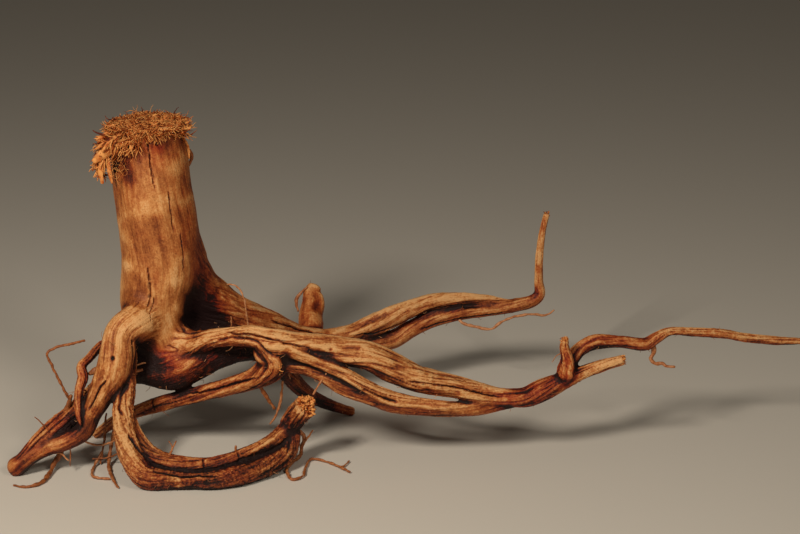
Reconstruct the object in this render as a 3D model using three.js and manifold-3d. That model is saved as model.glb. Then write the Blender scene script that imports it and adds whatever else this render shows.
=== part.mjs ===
// A dry tree root: a debarked stump standing on spreading roots, grown as one piece of wood.
// Units are millimetres, +Z is up and +X runs along the longest root.
// The part's origin is on the ground, under the middle of the whole root.
import * as THREE from "three";
import { mergeVertices } from "three/addons/utils/BufferGeometryUtils.js";
import Module from "manifold-3d";

// Driving dimensions
const stumpFoot = new THREE.Vector3(-251, -22, 0); // where the stump's axis meets the ground
const endRings = 2; // rings of faces in a rounded end
const blunt = 0.15; // a broken or chopped end bulges by this share of its radius
const round = 1; // a grown end is a half ball
const groundSize = 2000; // the slab that trims the underside flat
const groundDepth = 100;

// Each root is a chain of stations [x, y, z, radius], measured from the stump's foot.
// sides is the number of faces round it, step the length of one ring of faces,
// and ends says how far its first and last end bulge.
const roots = {
  // The stump, from its frayed top down to the rounded underside
  stump: {
    sides: 20, step: 22, ends: [blunt, round],
    stations: [
      [-14, 12, 333, 37], [-13, 11, 318, 36], [-12, 10, 298, 37.5], [-10, 8, 268, 39],
      [-5, 6, 224, 40], [-5, 3, 192, 39], [-10, -2, 164, 35], [-12, -7, 140, 32],
      [-6, -9, 119, 29],
    ],
  },
  // The mat of broken fibres that hangs over the stump's left rim
  frayedLip: {
    sides: 10, step: 10, ends: [round, round],
    stations: [
      [-34, 2, 321, 11], [-48, -3, 315, 8.5], [-56, -6, 308, 6.5], [-59, -8, 299, 3.8],
      [-59, -8, 290, 3.2],
    ],
  },
  // The swollen mass under the stump, which narrows into the root that props it behind
  backProp: {
    sides: 14, step: 15, ends: [round, round],
    stations: [
      [-28, -12, 91, 21], [-8, -16, 94, 26], [13, -18, 97, 27.5], [29, -17, 101.5, 24.5],
      [49, -14, 108, 20.5], [73, -10, 111, 17], [93, -4, 104, 13], [115, 4, 80, 9.5],
      [132, 20, 52, 8], [155, 50, 24, 6.5], [182, 72, 5, 5],
    ],
  },
  // The web of wood between the stump's foot and the rear root
  saddle: {
    sides: 12, step: 14, ends: [round, round],
    stations: [[-4, 4, 126, 18], [14, 12, 112, 17], [34, 18, 106, 15], [56, 22, 102, 10]],
  },
  // Two roots that come down on the left and end in one blunt toe
  heel: {
    sides: 10, step: 12, ends: [round, round],
    stations: [
      [-30, -6, 116, 15], [-42, -14, 97, 13.5], [-59, -26, 77, 11], [-75, -42, 65, 10],
      [-89, -57, 54, 10], [-107, -69, 44, 9], [-122, -76, 33, 7.5], [-137, -79, 19, 6.5],
    ],
  },
  knee: {
    sides: 14, step: 12, ends: [round, round],
    stations: [
      [-18, -22, 142, 24], [-27, -42, 144, 19.5], [-38, -52, 138, 18], [-42, -58, 121, 17.5],
      [-46, -62, 104, 17], [-54, -66, 89, 14.5], [-62, -70, 75, 12.5], [-70, -73, 61, 10.5],
      [-77, -76, 45, 9.5], [-94, -78, 35, 8.5], [-112, -79, 29, 8], [-128, -80, 21, 8.5],
      [-144, -80, 8, 9.5],
    ],
  },
  // The root that drops from the knee, runs round in a loop on the ground and rises to a broken end
  loop: {
    sides: 12, step: 11, ends: [round, blunt],
    stations: [
      [-33, -50, 116, 8], [-34, -62, 88, 8.5], [-37, -74, 72, 10.5], [-36, -86, 55, 11.5],
      [-32, -96, 41, 12.5], [-24, -106, 25, 12.5], [-11, -112, 13, 12], [19, -114, 9, 9.5],
      [56, -112, 9, 9.5], [81, -101, 10, 10.5], [104, -84, 13, 11.5], [121, -68, 20, 10.5],
      [126, -62, 31, 9], [125, -60, 42, 9.5], [131, -62, 54, 10.5], [141, -66, 66, 12],
    ],
  },
  loopStrand: {
    sides: 10, step: 11, ends: [round, round],
    stations: [
      [-31, -78, 60, 6.5], [-22, -88, 41, 8], [-8, -96, 27, 9], [13, -102, 21, 9],
      [40, -103, 20, 7], [64, -97, 22, 7], [80, -89, 25, 7], [96, -81, 29, 6.5],
      [110, -70, 34, 6.5], [121, -62, 41, 7.5],
    ],
  },
  // The main root: over the arch, then out to the right in three strands that join again
  arch: {
    sides: 14, step: 13, ends: [round, blunt],
    stations: [
      [4, -16, 120, 20], [28, -29, 118, 13.5], [51, -42, 129, 9.5], [87, -54, 137, 10],
      [115, -58, 132, 13.5], [140, -56, 129, 11], [172, -52, 121, 13.5], [204, -50, 114, 14.5],
      [226, -48, 101, 14.5], [255, -47, 87.5, 13], [295, -46, 78, 11.3], [335, -45, 68.5, 10],
      [360, -45, 68, 10], [379, -45, 77, 11], [401, -46, 88, 9], [418, -47, 96, 7],
      [437, -49, 104, 6], [455, -51, 110, 5.5],
    ],
  },
  archRidge: {
    sides: 8, step: 12, ends: [round, round],
    stations: [
      [127, -60, 127, 10], [155, -62, 112, 6], [181, -63, 100, 6.5], [204, -62, 84.5, 7.5],
      [226, -60, 73, 7.5], [260, -57, 65, 7], [300, -52, 60, 7], [340, -46, 63, 7],
    ],
  },
  underStrand: {
    sides: 10, step: 12, ends: [round, round],
    stations: [
      [105, -52, 119, 14], [126, -54, 107, 8], [140, -54, 104, 7.5], [161, -55, 96, 8],
      [184, -57, 83, 9.5], [207, -58, 74, 9], [235, -57, 64, 7.5], [268, -54, 59, 7],
      [309, -50, 57, 6.5], [345, -46, 62, 6],
    ],
  },
  // The root that turns back under the arch and reaches the ground behind the knee
  returnRoot: {
    sides: 12, step: 12, ends: [round, round],
    stations: [
      [103, -56, 131, 12], [113, -54, 113, 15], [98, -50, 95, 12], [77, -44, 83, 10],
      [49, -36, 72, 9], [21, -28, 61, 8.5], [-8, -20, 51, 7.5], [-32, -12, 40, 6.5],
      [-56, -2, 25, 6], [-79, 12, 5, 5],
    ],
  },
  // The rear root, a broad buttress that thins into two strands and turns up at its end
  rear: {
    sides: 12, step: 13, ends: [round, blunt],
    stations: [
      [0, 8, 224, 35], [6, 14, 197, 34], [14, 23, 172, 32.5], [25, 31, 151, 31],
      [40, 37, 137, 28.5], [66, 44, 120, 22.5], [97, 62, 103, 18], [129, 84, 84, 14],
      [165, 104, 73, 12], [202, 118, 67, 10.5], [227, 126, 67, 10], [246, 132, 76, 10],
      [272, 138, 87, 9.5], [300, 143, 92, 8.5], [330, 147, 94, 8], [359, 151, 97, 7.5],
      [380, 153, 102, 6.5], [387, 154, 109, 6], [386, 155, 123, 5], [386, 156, 150, 4.5],
      [389, 157, 179, 3.5], [393, 157, 199, 3.5],
    ],
  },
  rearFlute: {
    sides: 10, step: 12, ends: [round, round],
    stations: [
      [160, 100, 78, 10.5], [183, 110, 79, 11], [208, 120, 86, 12], [243, 130, 99, 10.5],
      [272, 137, 107, 8], [300, 142, 108, 7], [330, 147, 106, 4.5], [352, 150, 103, 2.5],
    ],
  },
  // The sawn stub behind the rear root
  stub: {
    sides: 12, step: 10, ends: [round, 0.5],
    stations: [
      [137, 95, 73, 11.5], [139, 120, 82, 13], [138, 138, 90, 12.5], [140, 150, 99, 12],
      [139, 158, 109, 10], [141, 161, 114.5, 7.5],
    ],
  },
  // The long thin root beyond the fork, and the broken spur beside it
  longRoot: {
    sides: 8, step: 11, ends: [round, round],
    stations: [
      [397, -46, 91, 8], [404, -40, 104, 7.5], [412, -34, 113, 7.5], [428, -28, 120, 7.5],
      [456, -24, 119, 6.5], [481, -20, 115, 7], [492, -18, 121, 6], [505, -16, 127, 4.5],
      [532, -12, 125, 4.5], [562, -8, 122, 4.5], [585, -4, 116, 4.5], [614, 0, 112, 4.5],
      [653, 4, 109, 3],
    ],
  },
  spur: {
    sides: 8, step: 8, ends: [round, blunt],
    stations: [[399, -50, 97, 9], [400, -52, 112, 6.5], [397, -53, 125, 5], [397, -54, 132, 4]],
  },
  // The thin root that slips out from behind the knee and ends in a point
  sideRoot: {
    sides: 8, step: 9, ends: [round, round],
    stations: [
      [-36, -24, 124, 6], [-50, -31, 123, 5], [-63, -38, 119, 4.5], [-72, -48, 111, 4],
      [-79, -56, 105, 4.5], [-77, -62, 96, 5], [-80, -70, 86, 4.5], [-81, -76, 74, 4],
      [-80, -82, 65, 3], [-77, -88, 57, 1.5],
    ],
  },
};

const wasm = await Module();
wasm.setup();

// The radius between two stations, at parameter t along the whole chain.
function radiusAt(stations, t) {
  const place = t * (stations.length - 1);
  const before = Math.min(Math.floor(place), stations.length - 2);
  return THREE.MathUtils.lerp(stations[before][3], stations[before + 1][3], place - before);
}

// A capsule bent along a root's curve, swelling and thinning with its stations.
function rootGeometry({ sides, step, ends, stations }) {
  const points = stations.map(([x, y, z]) => new THREE.Vector3(x, y, z));
  const curve = new THREE.CatmullRomCurve3(points, false, "centripetal");
  const rings = Math.round(curve.getLength() / step);
  const frames = curve.computeFrenetFrames(rings, false);
  const geometry = new THREE.CapsuleGeometry(1, rings, endRings, sides, rings);
  const position = geometry.getAttribute("position");
  const vertex = new THREE.Vector3();
  for (let i = 0; i < position.count; i++) {
    vertex.fromBufferAttribute(position, i);
    const along = THREE.MathUtils.clamp(vertex.y + rings / 2, 0, rings);
    const beyond = vertex.y + rings / 2 - along;
    const ring = Math.round(along);
    const radius = radiusAt(stations, curve.getUtoTmapping(along / rings));
    const bulge = beyond * (beyond < 0 ? ends[0] : ends[1]);
    const centre = curve.getPointAt(along / rings);
    centre.addScaledVector(frames.tangents[ring], bulge * radius);
    centre.addScaledVector(frames.binormals[ring], vertex.x * radius);
    centre.addScaledVector(frames.normals[ring], vertex.z * radius);
    position.setXYZ(i, centre.x, centre.y, centre.z);
  }
  return geometry;
}

// A closed three.js geometry as a solid that can be joined and cut.
function solidOf(geometry) {
  const bare = new THREE.BufferGeometry();
  bare.setAttribute("position", geometry.getAttribute("position"));
  bare.setIndex(geometry.index);
  const merged = mergeVertices(bare);
  const corners = merged.index.array;
  const triangles = [];
  for (let i = 0; i < corners.length; i += 3) {
    const [a, b, c] = corners.slice(i, i + 3);
    if (a !== b && b !== c && c !== a) triangles.push(a, b, c);
  }
  return new wasm.Manifold(
    new wasm.Mesh({
      numProp: 3,
      vertProperties: merged.getAttribute("position").array,
      triVerts: new Uint32Array(triangles),
    }),
  );
}

// A solid as a three.js geometry again.
function geometryOf(solid) {
  const mesh = solid.getMesh();
  const geometry = new THREE.BufferGeometry();
  geometry.setAttribute("position", new THREE.BufferAttribute(mesh.vertProperties, 3));
  geometry.setIndex(new THREE.BufferAttribute(mesh.triVerts, 1));
  geometry.computeVertexNormals();
  return geometry;
}

// The ground, whose top face wears the small flats that the root rests on
const groundBox = new THREE.BoxGeometry(groundSize, groundSize, groundDepth);
groundBox.translate(0, 0, -groundDepth / 2);

const joined = Object.values(roots)
  .map((root) => solidOf(rootGeometry(root)))
  .reduce((whole, next) => whole.add(next));
const wood = joined.subtract(solidOf(groundBox));

const weatheredWood = new THREE.MeshStandardMaterial({
  color: 0xa9744a,
  roughness: 0.7,
  metalness: 0,
});
const dryRoot = new THREE.Mesh(geometryOf(wood), weatheredWood);
dryRoot.name = "dry_root";
dryRoot.position.copy(stumpFoot);

const part = new THREE.Group();
part.add(dryRoot);
export default part;
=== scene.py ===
# A dry root: a debarked stump with a frayed top, standing on the roots that grew out of it.
# Blender works in metres. The lists below are in millimetres from the stump's foot, as one measures a root.
import math

import bpy
import numpy as np
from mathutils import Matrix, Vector


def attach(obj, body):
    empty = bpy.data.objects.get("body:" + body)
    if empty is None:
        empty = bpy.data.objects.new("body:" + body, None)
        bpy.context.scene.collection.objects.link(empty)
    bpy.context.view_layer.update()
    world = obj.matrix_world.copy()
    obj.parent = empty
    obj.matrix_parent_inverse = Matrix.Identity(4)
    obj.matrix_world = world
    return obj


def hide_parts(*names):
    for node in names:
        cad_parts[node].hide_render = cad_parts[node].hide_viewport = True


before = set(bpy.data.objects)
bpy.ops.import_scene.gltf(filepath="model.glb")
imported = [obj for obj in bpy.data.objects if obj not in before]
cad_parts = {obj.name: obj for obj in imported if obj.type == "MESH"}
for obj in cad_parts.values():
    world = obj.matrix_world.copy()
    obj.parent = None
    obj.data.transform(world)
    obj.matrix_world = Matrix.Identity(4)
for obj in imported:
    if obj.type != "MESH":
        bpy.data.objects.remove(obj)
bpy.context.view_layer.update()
mm = 0.001
stumpFoot = np.array([-251.0, -22.0, 0.0])  # where the stump's axis meets the ground, in the part's frame
bodyName = "root"


def linear(hexColour):  # sRGB hex to linear light, which the shaders work in
    channels = [int(hexColour[i : i + 2], 16) / 255 for i in (1, 3, 5)]
    return [c / 12.92 if c <= 0.04045 else ((c + 0.055) / 1.055) ** 2.4 for c in channels] + [1.0]


def addNode(tree, kind, settings=None, inputs=None):  # adds a node, sets it up, and sets or links its inputs
    made = tree.nodes.new(kind)
    for name, value in (settings or {}).items():
        setattr(made, name, value)
    for name, value in (inputs or {}).items():
        if isinstance(value, bpy.types.NodeSocket):
            tree.links.new(value, made.inputs[name])
        else:
            made.inputs[name].default_value = value
    return made


def setRamp(ramp, look, stops):  # gives a colour ramp its stops: each a place and a colour's name in the look
    elements = ramp.color_ramp.elements
    while len(elements) < len(stops):
        elements.new(0.5)
    for element, (position, name) in zip(elements, stops):
        element.position = position
        element.color = linear(look[name])


def toFrame(points):  # millimetres from the stump's foot to metres in the part's frame
    return (np.asarray(points, float) + stumpFoot) * mm


def fromFrame(points):  # and back
    return np.asarray(points, float) / mm - stumpFoot


def meshObject(name, points, faces, material=None):  # an object from points in metres and triangles
    corners = np.asarray(faces, np.int32)
    mesh = bpy.data.meshes.new(name)
    mesh.vertices.add(len(points))
    mesh.vertices.foreach_set("co", np.asarray(points, np.float32).ravel())
    mesh.loops.add(corners.size)
    mesh.loops.foreach_set("vertex_index", corners.ravel())
    mesh.polygons.add(len(corners))
    mesh.polygons.foreach_set("loop_start", np.arange(0, corners.size, 3, dtype=np.int32))
    mesh.polygons.foreach_set("use_smooth", np.ones(len(corners), bool))
    mesh.update(calc_edges=True)
    made = bpy.data.objects.new(name, mesh)
    bpy.context.scene.collection.objects.link(made)
    if material:
        mesh.materials.append(material)
    return made


def setAttribute(mesh, name, values):  # a number or a vector for each point, which a material reads by name
    kind, key = ("FLOAT_VECTOR", "vector") if np.ndim(values) == 2 else ("FLOAT", "value")
    mesh.attributes.new(name, kind, "POINT").data.foreach_set(key, np.asarray(values, np.float32).ravel())


def unit(vectors):
    return vectors / np.linalg.norm(vectors, axis=-1, keepdims=True)


def smoothStep(low, high, x):  # 0 below low, 1 above high, and a smooth S between them
    t = np.clip((x - low) / (high - low), 0, 1)
    return t * t * (3 - 2 * t)


def noise(points, seed):
    # Gradient noise, about -1 to 1: each corner of the unit cube round a point has a random slope of its own,
    # and the eight slopes' heights are blended with the curve 6t^5 - 15t^4 + 10t^3. Big odd numbers scramble
    # a corner's place into its slope, which is the same each time.
    cell = np.floor(points).astype(np.int64)
    part = points - cell
    blend = part**3 * (part * (part * 6 - 15) + 10)
    total = np.zeros(points.shape[:-1])
    for corner in np.ndindex(2, 2, 2):
        at = cell + corner
        mixed = at * [73856093, 19349663, 83492791]
        code = (mixed[..., 0] ^ mixed[..., 1] ^ mixed[..., 2] ^ seed * 40503) & 0xFFFFFFFF
        code = ((code ^ (code >> 13)) * 1274126177) & 0xFFFFFFFF
        code = ((code ^ (code >> 15)) * 2246822519) & 0xFFFFFFFF
        slope = np.stack([(code >> shift & 1023) / 511.5 - 1 for shift in (2, 12, 22)], -1)
        weight = np.prod(np.where(corner, blend, 1 - blend), -1)
        total += weight * np.sum(slope * (part - corner), -1)
    return total * 1.5


def splinePath(stations, step):
    # A centripetal Catmull-Rom spline through the stations [x, y, z, radius]: in each stretch, the lines
    # through four stations are blended twice, with knots spaced by the square root of the distance, and the
    # curve is read off again at equal steps of its length.
    p = np.asarray(stations, float)
    p = np.vstack([2 * p[0] - p[1], p, 2 * p[-1] - p[-2]])
    p[[0, -1], 3] = p[[1, -2], 3]
    knots = np.concatenate([[0], np.cumsum(np.linalg.norm(np.diff(p[:, :3], axis=0), axis=1) ** 0.5)])
    p0, p1, p2, p3 = (p[i : len(p) - 3 + i, None] for i in range(4))
    t0, t1, t2, t3 = (knots[i : len(p) - 3 + i, None, None] for i in range(4))
    t = t1 + (t2 - t1) * np.linspace(0, 1, 24)[None, :, None]
    a1 = ((t1 - t) * p0 + (t - t0) * p1) / (t1 - t0)
    a2 = ((t2 - t) * p1 + (t - t1) * p2) / (t2 - t1)
    a3 = ((t3 - t) * p2 + (t - t2) * p3) / (t3 - t2)
    b1 = ((t2 - t) * a1 + (t - t0) * a2) / (t2 - t0)
    b2 = ((t3 - t) * a2 + (t - t1) * a3) / (t3 - t1)
    curve = (((t2 - t) * b1 + (t - t1) * b2) / (t2 - t1)).reshape(-1, 4)
    run = np.concatenate([[0], np.cumsum(np.linalg.norm(np.diff(curve[:, :3], axis=0), axis=1))])
    along = np.linspace(0, run[-1], max(3, round(run[-1] / step) + 1))
    curve = np.stack([np.interp(along, run, curve[:, i]) for i in range(4)], 1)
    return along, curve[:, :3], curve[:, 3]


def pathFrames(centres):
    # For many paths at once: the direction along each path, and two directions across it that turn no more
    # than the path makes them. A ring's side is the last ring's with its part along the path taken out.
    ahead = np.gradient(centres, axis=1)
    ahead /= np.linalg.norm(ahead, axis=-1, keepdims=True)
    side = np.empty_like(ahead)
    last = np.cross(ahead[:, 0], [0.3, 0.9, 0.2])
    for ring in range(centres.shape[1]):
        direction = ahead[:, ring]
        last = last - direction * np.sum(direction * last, -1, keepdims=True)
        last /= np.linalg.norm(last, axis=-1, keepdims=True)
        side[:, ring] = last
    return ahead, side, np.cross(ahead, side)


def sweep(centres, radii, sides, ends=(1.0, 1.0), capRings=2, shape=None, flat=1.0):
    # Tubes along many paths at once: a ring of points round each path's point, at the path's radius, and the
    # ends closed by shrinking rings, radius times the cosine, pushed out by the sine, down to one point.
    # shape(ring, turn) multiplies the radius, and flat squeezes the section one way.
    count = len(centres)
    ahead, side, up = pathFrames(centres)
    turn = 2 * math.pi * np.arange(sides) / sides
    bend = math.pi / 2 * np.arange(1, capRings + 1) / (capRings + 1)
    reach = [radii[:, :1] * ends[0], radii[:, -1:] * ends[1]]
    first = centres[:, :1] - ahead[:, :1] * (reach[0] * np.sin(bend[::-1]))[..., None]
    final = centres[:, -1:] + ahead[:, -1:] * (reach[1] * np.sin(bend))[..., None]
    middle = np.concatenate([first, centres, final], 1)
    radius = np.concatenate([radii[:, :1] * np.cos(bend[::-1]), radii, radii[:, -1:] * np.cos(bend)], 1)
    pick = np.clip(np.arange(-capRings, centres.shape[1] + capRings), 0, centres.shape[1] - 1)
    radius = radius[..., None] * np.ones(sides)
    if shape is not None:
        radius = radius * shape(pick, turn)
    rings = middle[:, :, None] + radius[..., None] * (
        side[:, pick, None] * np.cos(turn)[:, None] + up[:, pick, None] * (flat * np.sin(turn))[:, None]
    )
    poles = np.stack([centres[:, 0] - ahead[:, 0] * reach[0], centres[:, -1] + ahead[:, -1] * reach[1]], 1)
    points = np.concatenate([rings.reshape(count, -1, 3), poles], 1)
    ringCount = middle.shape[1]
    i, j = np.meshgrid(np.arange(ringCount - 1), np.arange(sides), indexing="ij")
    k = (j + 1) % sides
    a, b, c, d = i * sides + j, i * sides + k, (i + 1) * sides + k, (i + 1) * sides + j
    around, after = np.arange(sides), (np.arange(sides) + 1) % sides
    base, tip, end = ringCount * sides, ringCount * sides + 1, (ringCount - 1) * sides
    faces = np.concatenate([
        np.stack([a, b, c], -1).reshape(-1, 3),
        np.stack([a, c, d], -1).reshape(-1, 3),
        np.stack([after, around, np.full(sides, base)], -1),
        np.stack([end + around, end + after, np.full(sides, tip)], -1),
    ])
    faces = (np.arange(count)[:, None, None] * points.shape[1] + faces).reshape(-1, 3)
    return points.reshape(-1, 3), faces


# The roots. stations are [x, y, z, radius]. blend is how far a root melts into its neighbours, lobes how
# uneven its section is, furrow how deep its long grooves are, twist how many millimetres it takes to turn
# once about itself, and bark how rough its skin is. The wear value is how bleached the root is, and the
# stains, painted shade among them, are later added to it. streak is how strongly its grain shows, and ruddy
# how much of the orange inner bark is left. ends is how far each end bulges, in radii.
roots = {
    "stump": {
        "blend": 14, "lobes": 0.03, "furrow": 0.1, "twist": 2400, "bark": 0.1,
        "wearAndShade": 0.05, "streak": 0.26, "ruddy": 0.05, "ends": (0.05, 1),
        "stations": [
            [-14, 12, 333, 37], [-13, 11, 318, 36], [-12, 10, 298, 37.5], [-10, 8, 268, 39],
            [-5, 6, 224, 40], [-5, 3, 192, 39], [-10, -2, 164, 35], [-12, -7, 140, 32], [-6, -9, 119, 29],
        ],
    },
    "frayedLip": {
        "blend": 4, "lobes": 0.2, "furrow": 0.6, "twist": 900, "bark": 0.5,
        "wearAndShade": -0.05, "streak": 0.7, "ruddy": 0.5, "ends": (1, 1),
        "stations": [
            [-34, 2, 321, 11], [-48, -3, 315, 8.5], [-56, -6, 308, 6.5], [-59, -8, 299, 3.8],
            [-59, -8, 290, 3.2],
        ],
    },
    "backProp": {
        "blend": 12, "lobes": 0.1, "furrow": 0.3, "twist": 700, "bark": 0.5,
        "wearAndShade": -0.22, "streak": 0.75, "ruddy": 0.6, "ends": (1, 1),
        "stations": [
            [-28, -12, 91, 21], [-8, -16, 94, 26], [13, -18, 97, 27.5], [29, -17, 101.5, 24.5],
            [49, -14, 108, 20.5], [73, -10, 111, 17], [93, -4, 104, 13], [115, 4, 80, 9.5],
            [132, 20, 52, 8], [155, 50, 24, 6.5], [182, 72, 5, 5],
        ],
    },
    "saddle": {
        "blend": 12, "lobes": 0.1, "furrow": 0.3, "twist": 700, "bark": 0.4,
        "wearAndShade": -0.3, "streak": 0.6, "ruddy": 0.4, "ends": (1, 1),
        "stations": [[-4, 4, 126, 18], [14, 12, 112, 17], [34, 18, 106, 15], [56, 22, 102, 10]],
    },
    "heel": {
        "blend": 4, "lobes": 0.14, "furrow": 0.8, "twist": 500, "bark": 0.7,
        "wearAndShade": -0.08, "streak": 0.8, "ruddy": 0.45, "ends": (1, 1),
        "stations": [
            [-30, -6, 116, 15], [-42, -14, 97, 13.5], [-59, -26, 77, 11], [-75, -42, 65, 10],
            [-89, -57, 54, 10], [-107, -69, 44, 9], [-122, -76, 33, 7.5], [-137, -79, 19, 6.5],
        ],
    },
    "knee": {
        "blend": 9, "lobes": 0.08, "furrow": 0.32, "twist": 900, "bark": 0.25,
        "wearAndShade": -0.08, "streak": 0.6, "ruddy": 0.12, "ends": (1, 1),
        "stations": [
            [-18, -22, 142, 24], [-27, -42, 144, 19.5], [-38, -52, 138, 18], [-42, -58, 121, 17.5],
            [-46, -62, 104, 17], [-54, -66, 89, 14.5], [-62, -70, 75, 12.5], [-70, -73, 61, 10.5],
            [-77, -76, 45, 9.5], [-94, -78, 35, 8.5], [-112, -79, 29, 8], [-128, -80, 21, 8.5],
            [-144, -80, 8, 9.5],
        ],
    },
    "loop": {
        "blend": 4, "lobes": 0.14, "furrow": 0.65, "twist": 420, "bark": 0.95,
        "wearAndShade": -0.08, "streak": 0.85, "ruddy": 0.25, "ends": (1, 0.15),
        "stations": [
            [-33, -50, 116, 8], [-34, -62, 88, 8.5], [-37, -74, 72, 10.5], [-36, -86, 55, 11.5],
            [-32, -96, 41, 12.5], [-24, -106, 25, 12.5], [-11, -112, 13, 12], [19, -114, 9, 9.5],
            [56, -112, 9, 9.5], [81, -101, 10, 10.5], [104, -84, 13, 11.5], [121, -68, 20, 10.5],
            [126, -62, 31, 9], [125, -60, 42, 9.5], [131, -62, 54, 10.5], [141, -66, 66, 12],
        ],
    },
    "loopStrand": {
        "blend": 1.3, "lobes": 0.14, "furrow": 0.6, "twist": 380, "bark": 0.6,
        "wearAndShade": -0.02, "streak": 0.85, "ruddy": 0.3, "ends": (1, 1),
        "stations": [
            [-31, -78, 60, 6.5], [-22, -88, 41, 8], [-8, -96, 27, 9], [13, -102, 21, 9], [40, -103, 20, 7],
            [64, -97, 22, 7], [80, -89, 25, 7], [96, -81, 29, 6.5], [110, -70, 34, 6.5],
            [121, -62, 41, 7.5],
        ],
    },
    "arch": {
        "blend": 5, "lobes": 0.14, "furrow": 0.7, "twist": 650, "bark": 0.35,
        "wearAndShade": 0.02, "streak": 1, "ruddy": 0.3, "ends": (1, 0.15),
        "stations": [
            [4, -16, 120, 20], [28, -29, 118, 13.5], [51, -42, 129, 9.5], [87, -54, 137, 10],
            [115, -58, 132, 13.5], [140, -56, 129, 11], [172, -52, 121, 13.5], [204, -50, 114, 14.5],
            [226, -48, 101, 14.5], [255, -47, 87.5, 13], [295, -46, 78, 11.3], [335, -45, 68.5, 10],
            [360, -45, 68, 10], [379, -45, 77, 11], [401, -46, 88, 9], [418, -47, 96, 7],
            [437, -49, 104, 6], [455, -51, 110, 5.5],
        ],
    },
    "archRidge": {
        "blend": 2.5, "lobes": 0.14, "furrow": 0.6, "twist": 500, "bark": 0.3,
        "wearAndShade": 0.06, "streak": 0.9, "ruddy": 0.25, "ends": (1, 1),
        "stations": [
            [127, -60, 127, 10], [155, -62, 112, 6], [181, -63, 100, 6.5], [204, -62, 84.5, 7.5],
            [226, -60, 73, 7.5], [260, -57, 65, 7], [300, -52, 60, 7], [340, -46, 63, 7],
        ],
    },
    "underStrand": {
        "blend": 2.5, "lobes": 0.14, "furrow": 0.6, "twist": 520, "bark": 0.4,
        "wearAndShade": 0, "streak": 1, "ruddy": 0.45, "ends": (1, 1),
        "stations": [
            [105, -52, 119, 14], [126, -54, 107, 8], [140, -54, 104, 7.5],
            [161, -55, 96, 8], [184, -57, 83, 9.5],
            [207, -58, 74, 9], [235, -57, 64, 7.5], [268, -54, 59, 7], [309, -50, 57, 6.5], [345, -46, 62, 6],
        ],
    },
    "returnRoot": {
        "blend": 5, "lobes": 0.12, "furrow": 0.6, "twist": 480, "bark": 0.4,
        "wearAndShade": -0.02, "streak": 0.8, "ruddy": 0.55, "ends": (1, 1),
        "stations": [
            [103, -56, 131, 12], [113, -54, 113, 15], [98, -50, 95, 12], [77, -44, 83, 10], [49, -36, 72, 9],
            [21, -28, 61, 8.5], [-8, -20, 51, 7.5], [-32, -12, 40, 6.5], [-56, -2, 25, 6], [-79, 12, 5, 5],
        ],
    },
    "rear": {
        "blend": 14, "lobes": 0.08, "furrow": 0.4, "twist": 800, "bark": 0.22,
        "wearAndShade": -0.04, "streak": 0.7, "ruddy": 0.5, "ends": (1, 0.15),
        "stations": [
            [0, 8, 224, 35], [6, 14, 197, 34], [14, 23, 172, 32.5], [25, 31, 151, 31], [40, 37, 137, 28.5],
            [66, 44, 120, 22.5], [97, 62, 103, 18], [129, 84, 84, 14], [165, 104, 73, 12],
            [202, 118, 67, 10.5], [227, 126, 67, 10], [246, 132, 76, 10], [272, 138, 87, 9.5],
            [300, 143, 92, 8.5], [330, 147, 94, 8], [359, 151, 97, 7.5], [380, 153, 102, 6.5],
            [387, 154, 109, 6], [386, 155, 123, 5], [386, 156, 150, 4.5], [389, 157, 179, 3.5],
            [393, 157, 199, 3.5],
        ],
    },
    "rearFlute": {
        "blend": 6, "lobes": 0.12, "furrow": 0.5, "twist": 700, "bark": 0.25,
        "wearAndShade": 0.04, "streak": 0.8, "ruddy": 0.25, "ends": (1, 1),
        "stations": [
            [160, 100, 78, 10.5], [183, 110, 79, 11], [208, 120, 86, 12], [243, 130, 99, 10.5],
            [272, 137, 107, 8], [300, 142, 108, 7], [330, 147, 106, 4.5], [352, 150, 103, 2.5],
        ],
    },
    "stub": {
        "blend": 6, "lobes": 0.1, "furrow": 0.06, "twist": 2000, "bark": 0.3,
        "wearAndShade": -0.16, "streak": 0.2, "ruddy": 0.8, "ends": (1, 0.5),
        "stations": [
            [137, 95, 73, 11.5], [139, 120, 82, 13], [138, 138, 90, 12.5], [140, 150, 99, 12],
            [139, 158, 109, 10], [141, 161, 114.5, 7.5],
        ],
    },
    "longRoot": {
        "blend": 3, "lobes": 0.12, "furrow": 0.4, "twist": 500, "bark": 0.35,
        "wearAndShade": -0.16, "streak": 0.8, "ruddy": 0.6, "ends": (1, 1),
        "stations": [
            [397, -46, 91, 8], [404, -40, 104, 7.5], [412, -34, 113, 7.5], [428, -28, 120, 7.5],
            [456, -24, 119, 6.5], [481, -20, 115, 7], [492, -18, 121, 6],
            [505, -16, 127, 4.5], [532, -12, 125, 4.5],
            [562, -8, 122, 4.5], [585, -4, 116, 4.5], [614, 0, 112, 4.5], [653, 4, 109, 3],
        ],
    },
    "spur": {
        "blend": 3, "lobes": 0.2, "furrow": 0.6, "twist": 300, "bark": 0.5,
        "wearAndShade": -0.05, "streak": 0.8, "ruddy": 0.5, "ends": (1, 0.15),
        "stations": [[399, -50, 97, 9], [400, -52, 112, 6.5], [397, -53, 125, 5], [397, -54, 132, 4]],
    },
    "sideRoot": {
        "blend": 3, "lobes": 0.14, "furrow": 0.4, "twist": 400, "bark": 0.45,
        "wearAndShade": -0.3, "streak": 0.7, "ruddy": 0.7, "ends": (1, 1),
        "stations": [
            [-36, -24, 124, 6], [-50, -31, 123, 5], [-63, -38, 119, 4.5], [-72, -48, 111, 4],
            [-79, -56, 105, 4.5], [-77, -62, 96, 5], [-80, -70, 86, 4.5], [-81, -76, 74, 4],
            [-80, -82, 65, 3], [-77, -88, 57, 1.5],
        ],
    },
}

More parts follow.
